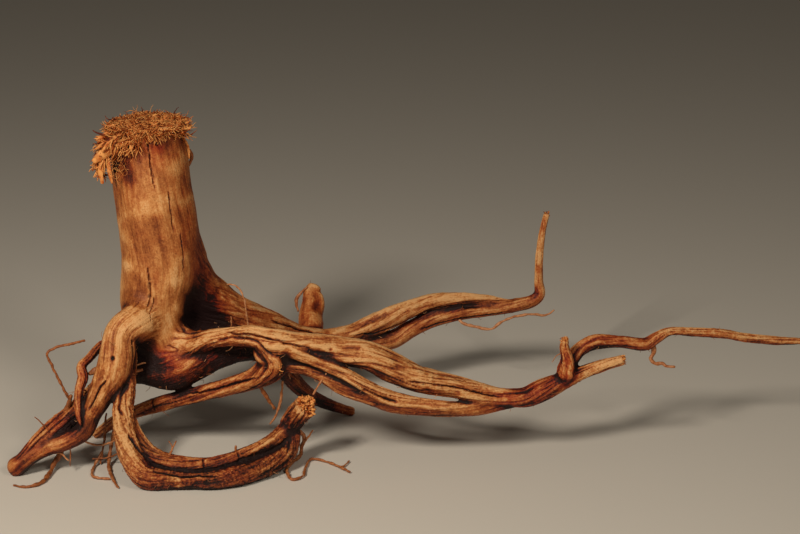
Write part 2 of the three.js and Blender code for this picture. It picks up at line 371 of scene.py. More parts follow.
# What was cut, split or knotted in the wood, as lines laid on its surface
scars = {
    "cracks": {  # drying cracks that follow the grain
        "width": 0.45, "depth": 1.4,
        "lines": [
            [[-9, -24, 331], [-8, -25, 319], [-7, -26, 304], [-5, -28, 290], [-3, -29, 276]],
            [[9, -24, 277], [11, -27, 263], [14, -29, 246], [16, -31, 235]],
            [[23, -26, 234], [25, -28, 220], [27, -29, 209], [27, -31, 192]],
            [[-13, -38, 202], [-12, -41, 180], [-12, -43, 165], [-13, -47, 158]],
            [[-5, -43, 174], [-7, -43, 166], [-10, -47, 155], [-10, -51, 147]],
            [[-8, -25, 322], [-4, -24, 324], [0, -22, 322]],
            [[-10, 49, 320], [-8, 50, 290], [-4, 48, 250], [-2, 47, 215]],
            [[24, 30, 326], [26, 32, 296], [30, 33, 262]],
            [[-46, 22, 300], [-44, 24, 262], [-40, 22, 226], [-38, 24, 190]],
        ],
    },
    "furrows": {  # soft grooves where two strands of a root have grown together
        "width": 1.7, "depth": 2.3,
        "lines": [
            [
                [52, -52, 130], [71, -59, 137], [86, -64, 137], [97, -67, 134], [108, -68, 124],
                [117, -66, 118],
            ],
            [[196, -69, 87], [212, -69, 80], [235, -67, 70]],
            [[-32, -69, 94], [-38, -77, 83], [-39, -86, 73], [-34, -92, 66]],
            [[-30, -101, 53], [-21, -106, 42], [-14, -108, 33], [-8, -109, 26]],
        ],
    },
    "splits": {  # narrow splits along the roots
        "width": 0.8, "depth": 2.4,
        "lines": [
            [[-51, -80, 101], [-58, -80, 92], [-65, -83, 79], [-71, -84, 69]],
            [[-26, -66, 138], [-27, -65, 120], [-29, -66, 100]],
            [[23, -34, 66], [50, -44, 76], [76, -52, 87], [98, -62, 97]],
            [[-8, -117, 20], [20, -120, 16], [60, -119, 15]],
            [[60, -60, 142], [88, -66, 143], [120, -72, 137], [150, -68, 127]],
            [[240, -62, 92], [290, -58, 84], [340, -56, 72]],
            [[100, 46, 118], [135, 70, 98], [170, 92, 84]],
            [
                [183, 96, 80], [208, 105, 78], [243, 121, 88],
                [272, 128, 97], [300, 134, 101], [330, 140, 100],
            ],
            [[255, 126, 78], [290, 134, 86], [330, 140, 90], [362, 144, 93]],
        ],
    },
    "rings": {  # where a root is pinched or its bark has cracked across
        "width": 1.0, "depth": 1.3,
        "lines": [
            [[43, -103, 28], [44, -109, 22], [46, -112, 15]],
            [[75, -92, 30], [77, -97, 26], [76, -100, 18]],
            [[-16, -21, 57], [-14, -26, 51], [-13, -25, 44]],
        ],
    },
    "hollows": {  # soft wood that has rotted away under the frayed lip
        "width": 6.0, "depth": 3.6,
        "lines": [[[-48, -6, 314], [-47, -10, 302], [-44, -14, 290]]],
    },
    "knots": {  # the mouths of lost rootlets
        "width": 1.6, "depth": 1.8,
        "lines": [
            [[-45, -76, 121], [-45, -76, 122]], [[0, -24, 324], [1, -24, 322]],
            [[167, -66, 126], [168, -66, 127]],
        ],
    },
}

# Patches of colour: [x, y, z, radius, tone, ruddiness], tone being added to the wood's own, dark below 0.
# Some are stains and bark. The dark patches in the valley between the stump and the rear root, and those on
# the belly below the knee, are painted shade.
stainsAndPaintedShade = [
    [-44, -10, 302, 13, -0.5, 0.4], [-30, -22, 300, 12, -0.34, 0.4], [-26, -24, 287, 8, -0.35, 0.2],
    [0, -24, 318, 8, 0.0, 1.0], [2, -24, 303, 7, 0.04, 0.7], [-4, -24, 329, 7, -0.1, 0.5],
    [2, -26, 324, 3, -0.6, 0.0], [22, -10, 322, 14, -0.12, 0.4], [-10, -24, 334, 22, -0.14, 0.6],
    # painted shade in the valley between the stump and the rear root
    [34, 2, 132, 18, -0.9, 0.4], [30, -2, 152, 15, -0.7, 0.5], [40, 2, 140, 17, -0.5, 0.6],
    # painted shade on the belly below the knee
    [-25, -30, 98, 14, -0.5, 0.3], [-10, -40, 104, 6, -0.4, 0.3], [-6, -40, 82, 16, -0.3, 0.4],
    [-20, -36, 118, 8, 0.2, 0.5], [18, -42, 76, 18, -0.16, 0.2], [30, -36, 96, 24, 0.04, 0.2],
    [62, -28, 104, 20, -0.2, 0.5], [345, -50, 68, 16, -0.12, 0.4], [365, -50, 72, 14, -0.2, 0.4],
    [385, -50, 84, 14, -0.24, 0.4], [399, -52, 96, 12, -0.2, 0.8], [399, -53, 114, 9, -0.15, 0.8],
    [24, -42, 106, 5, 0.3, 0.2], [46, -34, 112, 9, 0.3, 0.6], [6, -42, 108, 10, 0.16, 0.6],
    [-6, -36, 116, 7, 0.25, 0.7], [2, -38, 112, 6, 0.2, 0.6], [27, -25, 104, 5, 0.35, 0.0],
    [60, -20, 110, 12, -0.2, 0.5], [-45, -77, 121, 2.4, -0.7, 0.1], [168, -68, 127, 7.0, 0.22, 0.2],
    [168, -68, 127, 2.2, -0.6, 0.3], [-14, 12, 342, 34, -0.4, 0.6], [150, 45, 30, 34, -0.4, 0.2],
    [133, -62, 52, 15, -0.22, 0.4], [-42, -16, 220, 22, 0.2, -0.2], [-42, -14, 175, 24, 0.22, -0.2],
    [-6, -38, 160, 24, 0.3, -0.1], [0, -38, 138, 18, 0.55, -0.1], [14, -34, 126, 13, 0.55, 0.0],
    [60, 8, 150, 22, 0.22, 0.3], [86, 40, 124, 20, 0.12, 0.2], [-24, -26, 268, 14, -0.08, 0.2],
    [-112, -80, 22, 13, -0.2, 0.5], [-90, -78, 36, 10, -0.15, 0.5], [-62, -62, 66, 10, -0.25, 0.4],
    [-126, -78, 26, 10, -0.15, 0.7], [-55, -14, 300, 14, 0.0, 0.3], [38, 0, 250, 26, -0.1, 0.2],
    [122, -70, 120, 8, -0.1, 0.5], [19, -122, 13, 4, 0.5, 0.0], [20, -123, 6, 3, 0.5, 0.0],
    [-140, -80, 12, 20, -0.55, 0.5], [30, -112, 12, 34, -0.1, 0.0], [84, -98, 16, 34, -0.08, 0.0],
    [-78, -78, 44, 20, -0.34, 0.2], [-60, -70, 72, 14, -0.14, 0.2], [376, -46, 76, 18, -0.16, 0.6],
    [345, -48, 68, 20, -0.14, 0.5], [462, -22, 119, 30, -0.16, 0.5], [230, 122, 80, 16, 0.2, 0.0],
    [280, 134, 97, 14, 0.2, 0.0], [320, 140, 99, 12, 0.2, 0.0], [130, -70, 134, 22, 0.1, 0.0],
    [100, -56, 138, 12, 0.2, 0.0], [70, -52, 134, 10, -0.12, 0.4], [-105, -68, 48, 14, -0.3, 0.7],
    [-84, -76, 50, 12, -0.35, 0.3], [-100, -80, 38, 9, 0.18, 0.0], [-25, -106, 60, 26, 0.12, -0.2],
    [-14, -116, 10, 16, -0.2, 0.3], [16, -116, 6, 22, -0.3, 0.1], [50, -116, 6, 24, -0.3, 0.1],
    [82, -106, 7, 22, -0.28, 0.1], [110, -84, 12, 20, -0.26, 0.1], [127, -62, 36, 15, -0.3, 0.4],
    [36, -104, 22, 14, -0.02, 0.2], [66, -97, 25, 16, -0.1, 0.2], [94, -84, 31, 15, -0.1, 0.2],
    [-8, -108, 26, 8, -0.3, 0.6], [32, -8, 226, 20, -0.16, 0.3], [36, -4, 190, 24, -0.2, 0.4],
    [34, -4, 280, 26, -0.1, 0.3], [412, -34, 114, 22, -0.16, 0.4], [440, -28, 120, 14, -0.1, 0.3],
    [390, 157, 190, 12, -0.2, 0.5], [386, 152, 150, 9, 0.25, 0.0], [386, 152, 128, 8, 0.2, 0.0],
    [385, 150, 138, 6, -0.18, 0.4], [384, 150, 110, 10, -0.12, 0.5], [389, 153, 172, 6, 0.12, 0.0],
]

surface = {
    "voxel": 1.25,  # size of the grid that joins the roots into one skin
    "quickVoxel": 2.4,
    "triangles": 196000,
    "wideRounds": 240,  # how long the broad joints at the stump are smoothed
    "narrowRounds": 26,  # and those between strands
    "furrowSpacing": 8.0,  # across the grain
    "furrowLength": 95.0,  # along it
    "grainDepth": 0.22,
    "jointReach": 26.0,  # how far from a root's skin its joints are felt
    "reliefReach": 9.0,  # its relief
    "seamReach": 12.0,  # and its colour
    "lightDirections": 64,  # for how open each point is to the light
    "lightCell": 3.0,
}


def girth(look, along, turn):
    # A root's uneven section: 1 plus lobes times noise on a cylinder, so it closes round the root and
    # changes slowly along it.
    spot = np.stack(np.broadcast_arrays(along / 46, 1.25 * np.cos(turn), 1.25 * np.sin(turn)), -1)
    return 1 + look["lobes"] * 1.6 * noise(spot + look["index"] * 7.3, 5)


def prepareRoots():  # each root's path, read off every two millimetres, with its frames
    for index, look in enumerate(roots.values()):
        look["index"] = index
        look["along"], look["centre"], look["radius"] = splinePath(look["stations"], 2.0)
        look["frames"] = [direction[0] for direction in pathFrames(look["centre"][None])]


def rawRoots():  # every root as a tube of its own, overlapping its neighbours
    points, faces, count = [], [], 0
    for look in roots.values():
        part, corners = sweep(
            look["centre"][None], look["radius"][None], 40, look["ends"], 5,
            lambda ring, turn: girth(look, look["along"][ring][:, None], turn[None]),
        )
        points.append(part)
        faces.append(corners + count)
        count += len(part)
    return np.concatenate(points), np.concatenate(faces)


def straighten(points, look):
    # A point's place on one root laid out straight: how far along, and its two distances from the axis.
    # The nearest point of the path is found, then moved along by the offset's part in the path's direction.
    along, centre, radius = look["along"], look["centre"], look["radius"]
    ahead, side, up = look["frames"]
    squares = np.sum(centre**2, 1)
    nearest = np.concatenate([
        np.argmin(squares - 2 * block @ centre.T, 1)
        for block in np.array_split(points, len(points) // 20000 + 1)
    ])
    run = along[nearest] + np.sum((points - centre[nearest]) * ahead[nearest], 1)
    inside = np.clip(run, 0, along[-1])
    read = lambda table: np.stack([np.interp(inside, along, table[:, i]) for i in range(3)], 1)
    offset = points - read(centre)
    x, y = np.sum(offset * read(side), 1), np.sum(offset * read(up), 1)
    return inside, x, y, run - inside, np.interp(inside, along, radius)


def nearRoots(points, reach):
    # For every root, the points within reach of its skin, with their straightened places and their gap to it
    found = []
    for look in roots.values():
        low = (look["centre"] - look["radius"][:, None]).min(0) - reach
        high = (look["centre"] + look["radius"][:, None]).max(0) + reach
        picked = np.flatnonzero(np.all((points > low) & (points < high), 1))
        along, x, y, beyond, radius = straighten(points[picked], look)
        turn = np.arctan2(y, x)
        skin = radius * girth(look, along, turn)
        gap = np.hypot(np.hypot(x, y), beyond) - skin
        keep = gap < reach
        found.append([look, picked[keep], along[keep], turn[keep], skin[keep], gap[keep]])
    return found


def twoNearest(found, count, reach):  # the smallest and second smallest gap at each point, and whose they are
    gaps = np.full((2, count), reach, float)
    owner = np.zeros((2, count), int)
    for look, picked, along, turn, skin, gap in found:
        first = gap < gaps[0, picked]
        moved = picked[first]
        gaps[1, moved], owner[1, moved] = gaps[0, moved], owner[0, moved]
        gaps[0, moved], owner[0, moved] = gap[first], look["index"]
        second = ~first & (gap < gaps[1, picked])
        gaps[1, picked[second]], owner[1, picked[second]] = gap[second], look["index"]
    return gaps, owner


def neighbourMean(points, edges):  # the mean of each point's neighbours along the mesh's edges
    count = len(points)
    ends = np.concatenate([edges[:, 0], edges[:, 1]])
    others = points[np.concatenate([edges[:, 1], edges[:, 0]])]
    total = np.stack([np.bincount(ends, others[:, i], count) for i in range(points.shape[1])], 1)
    return total / np.maximum(np.bincount(ends, minlength=count), 1)[:, None]


def relax(points, edges, weight, rounds):
    # Moves each point towards the mean of its neighbours, by its weight, over and over. Only the edges that
    # touch a point with some weight are gone through.
    active = edges[np.any(weight[edges] > 0, 1)]
    used, local = np.unique(active, return_inverse=True)
    local = local.reshape(-1, 2)
    part, pull = points[used], 0.8 * weight[used, None]
    for _ in range(rounds):
        part += pull * (neighbourMean(part, local) - part)
    points[used] = part
    return points


def meshArrays(mesh):
    points = np.empty(len(mesh.vertices) * 3, np.float32)
    mesh.vertices.foreach_get("co", points)
    edges = np.empty(len(mesh.edges) * 2, np.int32)
    mesh.edges.foreach_get("vertices", edges)
    normals = np.empty(len(mesh.vertices) * 3, np.float32)
    mesh.vertex_normals.foreach_get("vector", normals)
    return points.reshape(-1, 3).astype(float), edges.reshape(-1, 2), normals.reshape(-1, 3).astype(float)


def applyModifier(made, kind, **settings):  # adds a modifier and keeps its result as the mesh
    modifier = made.modifiers.new(kind.title(), kind)
    for name, value in settings.items():
        setattr(modifier, name, value)
    bpy.context.view_layer.update()
    result = bpy.data.meshes.new_from_object(made.evaluated_get(bpy.context.evaluated_depsgraph_get()))
    made.modifiers.clear()
    made.data = result


def straightPlace(look, along, turn, skin):
    # The point on the root laid out straight: along it, and round it on its own section, turned with its
    # twist. Each root lies further along than the last, so no two have the same grain.
    angle = turn + 2 * math.pi * along / look["twist"]
    return np.stack([along + 211.7 * look["index"], skin * np.cos(angle), skin * np.sin(angle)], 1)


def relief(look, place, skin, world):
    # How far the skin stands out: long furrows where slow noise crosses zero, strands between them,
    # fine grain, broad lumps, and rough bark where there is some. Furrows lie closer on a thin root.
    depth = look["furrow"]
    across = np.minimum(surface["furrowSpacing"], 2.2 + skin * 0.45)[:, None]
    stretched = np.concatenate([place[:, :1] / surface["furrowLength"], place[:, 1:] / across], 1)
    lines = noise(stretched, 21)
    coming = smoothStep(-0.35, 0.3, noise(place / [60, 25, 25], 22))
    furrows = -np.exp(-((lines / 0.11) ** 2)) * (0.35 + 0.65 * coming) * 1.25
    strands = np.abs(lines) * 1.3
    second = noise(stretched * [1.7, 2.1, 2.1], 23)
    furrows = furrows - 0.45 * np.exp(-((second / 0.1) ** 2)) * (1 - 0.5 * coming)
    grain = noise(place / [20, 2.3, 2.3], 24) * surface["grainDepth"]
    lumps = noise(place / [24, 13, 13], 25) * 0.045 * np.minimum(skin, 12)
    bark = (np.abs(noise(world / 3.1, 26)) - 0.25 + 0.5 * noise(world / 6.5, 27)) * look["bark"]
    return depth * (furrows + strands) + grain * min(1, 0.5 + depth) + lumps + bark


def densify(points):  # a line of points, one every half millimetre
    points = np.asarray(points, float)
    run = np.concatenate([[0], np.cumsum(np.linalg.norm(np.diff(points, axis=0), axis=1))])
    at = np.linspace(0, run[-1], round(run[-1] / 0.5) + 2)
    return np.stack([np.interp(at, run, points[:, i]) for i in range(3)], 1)


def nearestOf(points, targets):  # for each point, the nearest target's index and its distance
    index, distance = [], []
    for block in np.array_split(points, len(points) // 4000 + 1):
        squares = np.sum(targets**2, 1) - 2 * block @ targets.T
        best = np.argmin(squares, 1)
        index.append(best)
        distance.append(np.sqrt(np.maximum(squares[np.arange(len(block)), best] + np.sum(block**2, 1), 0)))
    return np.concatenate(index), np.concatenate(distance)


def lineDistance(points, line, reach):
    # Each point's distance to a line laid on the surface, and how far the line has faded there: its points
    # are first moved to the nearest mesh points, and it thins out towards both ends.
    low, high = np.min(line, 0) - reach - 8, np.max(line, 0) + reach + 8
    near = np.flatnonzero(np.all((points > low) & (points < high), 1))
    if len(near) == 0:
        return near, np.zeros(0), np.zeros(0)
    dense = densify(line)
    wobble = np.stack([noise(dense / 11 + 31 * i, 40 + i) for i in range(3)], 1) * 0.5
    laid = points[near][nearestOf(dense + wobble, points[near])[0]]
    smooth = lambda values: np.convolve(np.pad(values, 4, "edge"), np.ones(9) / 9, "valid")
    laid = np.stack([smooth(laid[:, i]) for i in range(3)], 1)
    index, distance = nearestOf(points[near], laid)
    share = index / (len(laid) - 1)
    fade = smoothStep(0, 0.12, share) * smoothStep(0, 0.18, 1 - share)
    if len(laid) <= 8:  # a knot is too short to fade
        fade = np.ones(len(share))
    keep = distance < reach
    return near[keep], distance[keep], fade[keep]


def carve(points, normals):  # presses every scar into the surface with a bell-shaped section
    depth = np.zeros(len(points))
    for kind in scars.values():
        for line in kind["lines"]:
            near, distance, fade = lineDistance(points, line, kind["width"] * 4)
            cut = kind["depth"] * fade * np.exp(-((distance / kind["width"]) ** 2))
            depth[near] = np.maximum(depth[near], cut)
    return points - normals * depth[:, None]


def buildWood():
    # The tubes are joined on a fine grid and relaxed where two of them meet, by how close the second one is.
    # The skin then gets each near root's relief, weighed by its nearness, and the scars.
    prepareRoots()
    points, faces = rawRoots()
    wood = meshObject("root_wood", toFrame(points), faces)
    voxel = surface["voxel"]
    applyModifier(wood, "REMESH", mode="VOXEL", voxel_size=voxel * mm, adaptivity=0)
    print("joined", len(wood.data.vertices), "points")

    points, edges, _ = meshArrays(wood.data)
    points = fromFrame(points)
    found = nearRoots(points, surface["jointReach"])
    gaps, owner = twoNearest(found, len(points), surface["jointReach"])
    blends = np.array([look["blend"] for look in roots.values()], float)
    blend = np.minimum(blends[owner[0]], blends[owner[1]])
    wide = np.where(blend > 8, np.clip(1.2 - gaps[1] / blend, 0, 1), 0)
    narrow = np.clip(1.15 - gaps[1] / blend, 0, 1)
    points = relax(points, edges, wide, surface["wideRounds"])
    points = relax(points, edges, narrow, surface["narrowRounds"])
    wood.data.vertices.foreach_set("co", toFrame(points).astype(np.float32).ravel())
    wood.data.update()
    print("relaxed the joints")

    points, _, normals = meshArrays(wood.data)
    points = fromFrame(points)
    height, weight = np.zeros(len(points)), np.full(len(points), 1e-9)
    for look, picked, along, turn, skin, gap in nearRoots(points, surface["reliefReach"]):
        place = straightPlace(look, along, turn, skin)
        share = np.exp(-np.maximum(gap, -6) / 1.3)
        height[picked] += share * relief(look, place, skin, points[picked])
        weight[picked] += share
    points += normals * (height / weight)[:, None]
    points = carve(points, normals)
    points[:, 2] = np.maximum(points[:, 2], 0.15)
    wood.data.vertices.foreach_set("co", toFrame(points).astype(np.float32).ravel())
    wood.data.update()

    triangles = sum(len(p.vertices) - 2 for p in wood.data.polygons)
    kept = min(1.0, surface["triangles"] / triangles)
    applyModifier(wood, "DECIMATE", ratio=kept, use_collapse_triangulate=True)
    print("carved and thinned to", len(wood.data.polygons), "triangles")
    return wood


def openness(points, normals):
    # How open each point is to the sky and to the light thrown up from the ground: from each of many
    # directions the points are dropped onto a grid across it, and those more than a little behind the
    # foremost in their cell are in the shade. What is left is each point's share of directions, weighed by
    # the cosine of its slope.
    count, cell = surface["lightDirections"], surface["lightCell"]
    step = np.arange(count) + 0.5
    height = 1 - 1.35 * step / count
    turn = step * math.pi * (3 - math.sqrt(5))
    out = np.sqrt(1 - height**2)
    total = np.zeros(len(points))
    for direction in np.stack([out * np.cos(turn), out * np.sin(turn), height], 1):
        side = unit(np.cross(direction, [0.31, 0.17, 0.94]))
        grid = np.floor(np.stack([points @ side, points @ np.cross(direction, side)], 1) / cell).astype(int)
        grid -= grid.min(0)
        key, depth = grid[:, 0] * (grid[:, 1].max() + 1) + grid[:, 1], points @ direction
        front = np.full(key.max() + 1, -1e9)
        np.maximum.at(front, key, depth)
        slope = np.maximum(normals @ direction, 0)
        seen = depth > front[key] - 3.0 - cell * np.sqrt(1 - slope**2) / np.maximum(slope, 0.25)
        total += slope * seen
    return total / (count * 0.27)


def paintWood(wood):
    # What the material reads at each point: the straightened place, how near a seam between two roots is,
    # how hollow the surface is at a small and a large scale, how open to the light, and the look of its roots
    points, edges, normals = meshArrays(wood.data)
    points = fromFrame(points)
    found = nearRoots(points, surface["seamReach"])
    gaps, owner = twoNearest(found, len(points), surface["seamReach"])
    grain, weight = np.zeros((len(points), 3)), np.full(len(points), 1e-9)
    looks = {name: np.zeros(len(points)) for name in ("bark", "wearAndShade", "streak", "ruddy")}
    for look, picked, along, turn, skin, gap in found:
        own = owner[0, picked] == look["index"]
        grain[picked[own]] = straightPlace(look, along, turn, skin)[own] * mm
        share = np.exp(-np.maximum(gap, -8) / 1.6)
        weight[picked] += share
        for name, values in looks.items():
            values[picked] += share * look[name]
    for values in looks.values():
        values /= weight
    # Each stain's tone is added to the wear and its red to the ruddiness, so the wear also carries the
    # painted shade of the stains.
    for x, y, z, radius, tone, red in stainsAndPaintedShade:
        away = np.linalg.norm(points - [x, y, z], axis=1) / radius
        ragged = away + 0.3 * noise(points / (radius * 0.6) + x, 61)
        share = np.exp(-np.maximum(ragged, 0) ** 2 * 1.1)
        looks["wearAndShade"] += tone * share
        looks["ruddy"] += red * share
    # How hollow the surface is at a small and a large scale. The material darkens hollows with it, partly as
    # dirt in the recesses and partly as painted shade, and lightens ridges, partly as bleaching and partly as
    # painted highlight.
    mean = points.copy()
    hollows = []
    for rounds in (3, 30):
        for _ in range(rounds):
            mean = neighbourMean(mean, edges)
        hollows.append(np.sum((mean - points) * normals, 1))
    light = openness(points, normals)[:, None]
    for _ in range(3):
        light = neighbourMean(light, edges)
    crack = np.zeros(len(points))
    for kind, width in (("cracks", 0.36), ("splits", 0.5)):
        for line in scars[kind]["lines"]:
            near, distance, fade = lineDistance(points, line, 3.0)
            crack[near] = np.maximum(crack[near], fade * np.exp(-((distance / width) ** 2)))
    setAttribute(wood.data, "grain", grain)
    setAttribute(wood.data, "seam", smoothStep(0.3, 4.0, gaps[1] - gaps[0]))
    setAttribute(wood.data, "creases", np.clip(hollows[0] / 0.5, -1, 1))
    setAttribute(wood.data, "hollows", np.clip(hollows[1] / 2.2, -1, 1))
    setAttribute(wood.data, "light", light[:, 0])
    setAttribute(wood.data, "crack", crack)
    for name, values in looks.items():
        setAttribute(wood.data, name, values)
    print("painted the wood")


# Weathered root wood, debarked and dried in the open: matt, fibrous along the grain, bleached to a pale tan
# on its ridges and still red-brown in its furrows, where the inner bark was. The ramp's dark stops are also
# reached where painted shade takes the tone down in creases, hollows and places closed off from the light,
# and its pale stops where painted highlight lifts it on ridges and open tops. Real fibres are finer than the
# ones drawn here, which are as coarse as they need to be to show. Each pattern says whether it follows the
# grain, its size in millimetres along and across it, its detail, its roughness and its distortion.
woodLook = {
    "deep": "#1c0802", "inner": "#552208", "body": "#874316", "worn": "#b06830", "bleached": "#d08e50",
    "pale": "#e4ac70", "red": "#c8661a", "roughness": 0.54, "bumpDepth": 1.1,
    "patterns": {
        "streaks": [True, (30, 2.88, 2.88), 4, 0.6, 0.3],
        "fibres": [True, (15, 1.2, 1.2), 3, 0.62, 0.0],
        "broad": [True, (80, 9, 9), 3, 0.5, 0.4],
        "bands": [True, (36, 8, 8), 4, 0.6, 0.6],
        "flakes": [True, (11, 3, 3), 4, 0.62, 0.4],
        "patches": [False, (25.6, 25.6, 25.6), 4, 0.55, 0.6],
        "blotches": [False, (7.2, 7.2, 7.2), 4, 0.6, 0.3],
        "specks": [False, (1.8, 1.8, 1.8), 3, 0.65, 0.0],
        "pits": [False, (2.6, 2.6, 2.6), 4, 0.7, 0.0],
        "innerBark": [False, (22, 22, 22), 3, 0.55, 0.8],
    },
    "edges": {"flakes": (0.02, 0.14), "pits": (0.09, 0.2)},  # where these patterns begin and are full
}


def woodMaterial():
    material = bpy.data.materials.new("root wood, debarked and weathered")
    material.use_nodes = True
    tree = material.node_tree
    tree.nodes.clear()
    grain = addNode(tree, "ShaderNodeAttribute", {"attribute_name": "grain"}).outputs["Vector"]
    place = addNode(tree, "ShaderNodeTexCoord").outputs["Object"]
    values = {  # every value by its name, first what paintWood left at each point
        name: addNode(tree, "ShaderNodeAttribute", {"attribute_name": name}).outputs["Fac"]
        for name in ("seam", "creases", "hollows", "light", "crack", "bark", "wearAndShade", "streak", "ruddy")
    }
    for name, (follows, sizes, detail, roughness, distortion) in woodLook["patterns"].items():
        scaled = addNode(
            tree, "ShaderNodeVectorMath", {"operation": "MULTIPLY"},
            {0: grain if follows else place, 1: [1 / (size * mm) for size in sizes]},
        )
        cloud = addNode(tree, "ShaderNodeTexNoise", None, {
            "Vector": scaled.outputs[0], "Scale": 1.0, "Detail": detail, "Roughness": roughness,
            "Distortion": distortion,
        })
        centred = {0: cloud.outputs["Fac"], 1: 0.5}
        values[name] = addNode(tree, "ShaderNodeMath", {"operation": "SUBTRACT"}, centred).outputs[0]
    for name, (low, high) in woodLook["edges"].items():
        edge = addNode(
            tree, "ShaderNodeMapRange", {"interpolation_type": "SMOOTHSTEP"},
            {"Value": values[name], "From Min": low, "From Max": high},
        )
        values[name] = edge.outputs[0]

    # Each row is one sum, on numbers or on values named before it. The grain shows less near a seam. tone
    # runs from 0 in the deepest furrow to 1 on a bleached ridge, and carries painted shade in creases,
    # hollows and where the wood is closed off from the light, and painted highlight on ridges and open tops.
    # redShare is high where the wood is dark, and height is what the bump reads.
    sums = [
        ["along", "MULTIPLY", "streak", "seam"],
        ["alongFine", "MAXIMUM", "along", 0.3],
        ["alongSmall", "MAXIMUM", "along", 0.5],
        ["streaks", "MULTIPLY", "streaks", "along"],
        ["fibres", "MULTIPLY", "fibres", "alongFine"],
        ["broad", "MULTIPLY", "broad", "along"],
        ["bands", "MULTIPLY", "bands", "along"],
        ["blotches", "MULTIPLY", "blotches", "alongSmall"],
        ["flakeShare", "MULTIPLY", "along", 0.12],
        ["flakeRise", "MULTIPLY", "along", 0.3],
        ["pitShare", "MULTIPLY_ADD", "bark", -0.3, -0.05],
        ["speckRise", "MULTIPLY_ADD", "bark", 1.2, 0.25],
        # painted shade where a point is closed off from the light, and painted highlight where it is open to
        # it
        ["closed", "SUBTRACT", 0.92, "light"],
        ["shade", "MAXIMUM", "closed", -0.22],
        ["tone", "MULTIPLY_ADD", "streaks", 0.8, 0.325],
        ["tone", "MULTIPLY_ADD", "fibres", 1.15, "tone"],
        ["tone", "MULTIPLY_ADD", "broad", 0.75, "tone"],
        ["tone", "MULTIPLY_ADD", "bands", 0.7, "tone"],
        ["tone", "MULTIPLY_ADD", "patches", 0.3, "tone"],
        ["tone", "MULTIPLY_ADD", "blotches", 0.5, "tone"],
        ["tone", "MULTIPLY_ADD", "specks", 0.5, "tone"],
        ["tone", "MULTIPLY_ADD", "flakes", "flakeShare", "tone"],
        ["tone", "MULTIPLY_ADD", "pits", "pitShare", "tone"],
        ["tone", "ADD", "wearAndShade", "tone"],
        # creases and hollows: darker in recesses, partly dirt and partly painted shade; lighter on ridges,
        # partly bleaching and partly painted highlight
        ["tone", "MULTIPLY_ADD", "creases", -0.28, "tone"],
        ["tone", "MULTIPLY_ADD", "hollows", -0.36, "tone"],
        ["tone", "MULTIPLY_ADD", "shade", -0.68, "tone"],
        ["redness", "MULTIPLY_ADD", "innerBark", 1.7, "ruddy"],
        ["darkness", "SUBTRACT", 1.05, "tone"],
        ["redShare", "MULTIPLY", "redness", "darkness"],
        ["rough", "MULTIPLY_ADD", "tone", -0.14, woodLook["roughness"] + 0.08],
        ["height", "MULTIPLY", "fibres", 0.8],
        ["height", "MULTIPLY_ADD", "streaks", 1.1, "height"],
        ["height", "MULTIPLY_ADD", "flakes", "flakeRise", "height"],
        ["height", "MULTIPLY_ADD", "pits", -0.25, "height"],
        ["height", "MULTIPLY_ADD", "specks", "speckRise", "height"],
    ]
    limited = ("darkness", "redShare")  # these two stay between 0 and 1
    for name, operation, *parts in sums:
        inputs = {i: values[part] if isinstance(part, str) else part for i, part in enumerate(parts)}
        settings = {"operation": operation, "use_clamp": name in limited}
        values[name] = addNode(tree, "ShaderNodeMath", settings, inputs).outputs[0]

    ramp = addNode(tree, "ShaderNodeValToRGB", None, {"Fac": values["tone"]})
    stops = [(0.0, "deep"), (0.2, "inner"), (0.42, "body"), (0.64, "worn"), (0.84, "bleached"), (1.0, "pale")]
    setRamp(ramp, woodLook, stops)
    red = addNode(
        tree, "ShaderNodeMix", {"data_type": "RGBA", "blend_type": "SOFT_LIGHT"},
        {"Factor": values["redShare"], 6: ramp.outputs["Color"], 7: linear(woodLook["red"])},
    )
    split = addNode(
        tree, "ShaderNodeMix", {"data_type": "RGBA"},
        {"Factor": values["crack"], 6: red.outputs[2], 7: linear(woodLook["deep"])},
    )
    bump = addNode(
        tree, "ShaderNodeBump", None,
        {"Strength": 0.9, "Distance": woodLook["bumpDepth"] * mm, "Height": values["height"]},
    )
    shader = addNode(tree, "ShaderNodeBsdfPrincipled", None, {
        "IOR": 1.45, "Specular IOR Level": 0.4, "Base Color": split.outputs[2], "Roughness": values["rough"],
        "Normal": bump.outputs["Normal"],
    })
    addNode(tree, "ShaderNodeOutputMaterial", None, {"Surface": shader.outputs["BSDF"]})
    return material


# Camera and studio. The camera aims at a point as high as the stump's middle, from above it by elevation in
# degrees.
studio = {
    "aim": [235, 0, 190], "distance": 1900, "elevation": 18, "lens": 85.5,
    "lampAim": [150, 0, 120], "lampBearing": 30, "lampHeight": 38, "lampDistance": 1700, "lampSize": 300,
    "lampColour": (1.0, 0.91, 0.8), "keyPower": 18, "fillPower": 5,
    "world": "#e8dccc", "worldStrength": 0.07, "floor": "#dcd5c8", "floorSize": 12000,
}


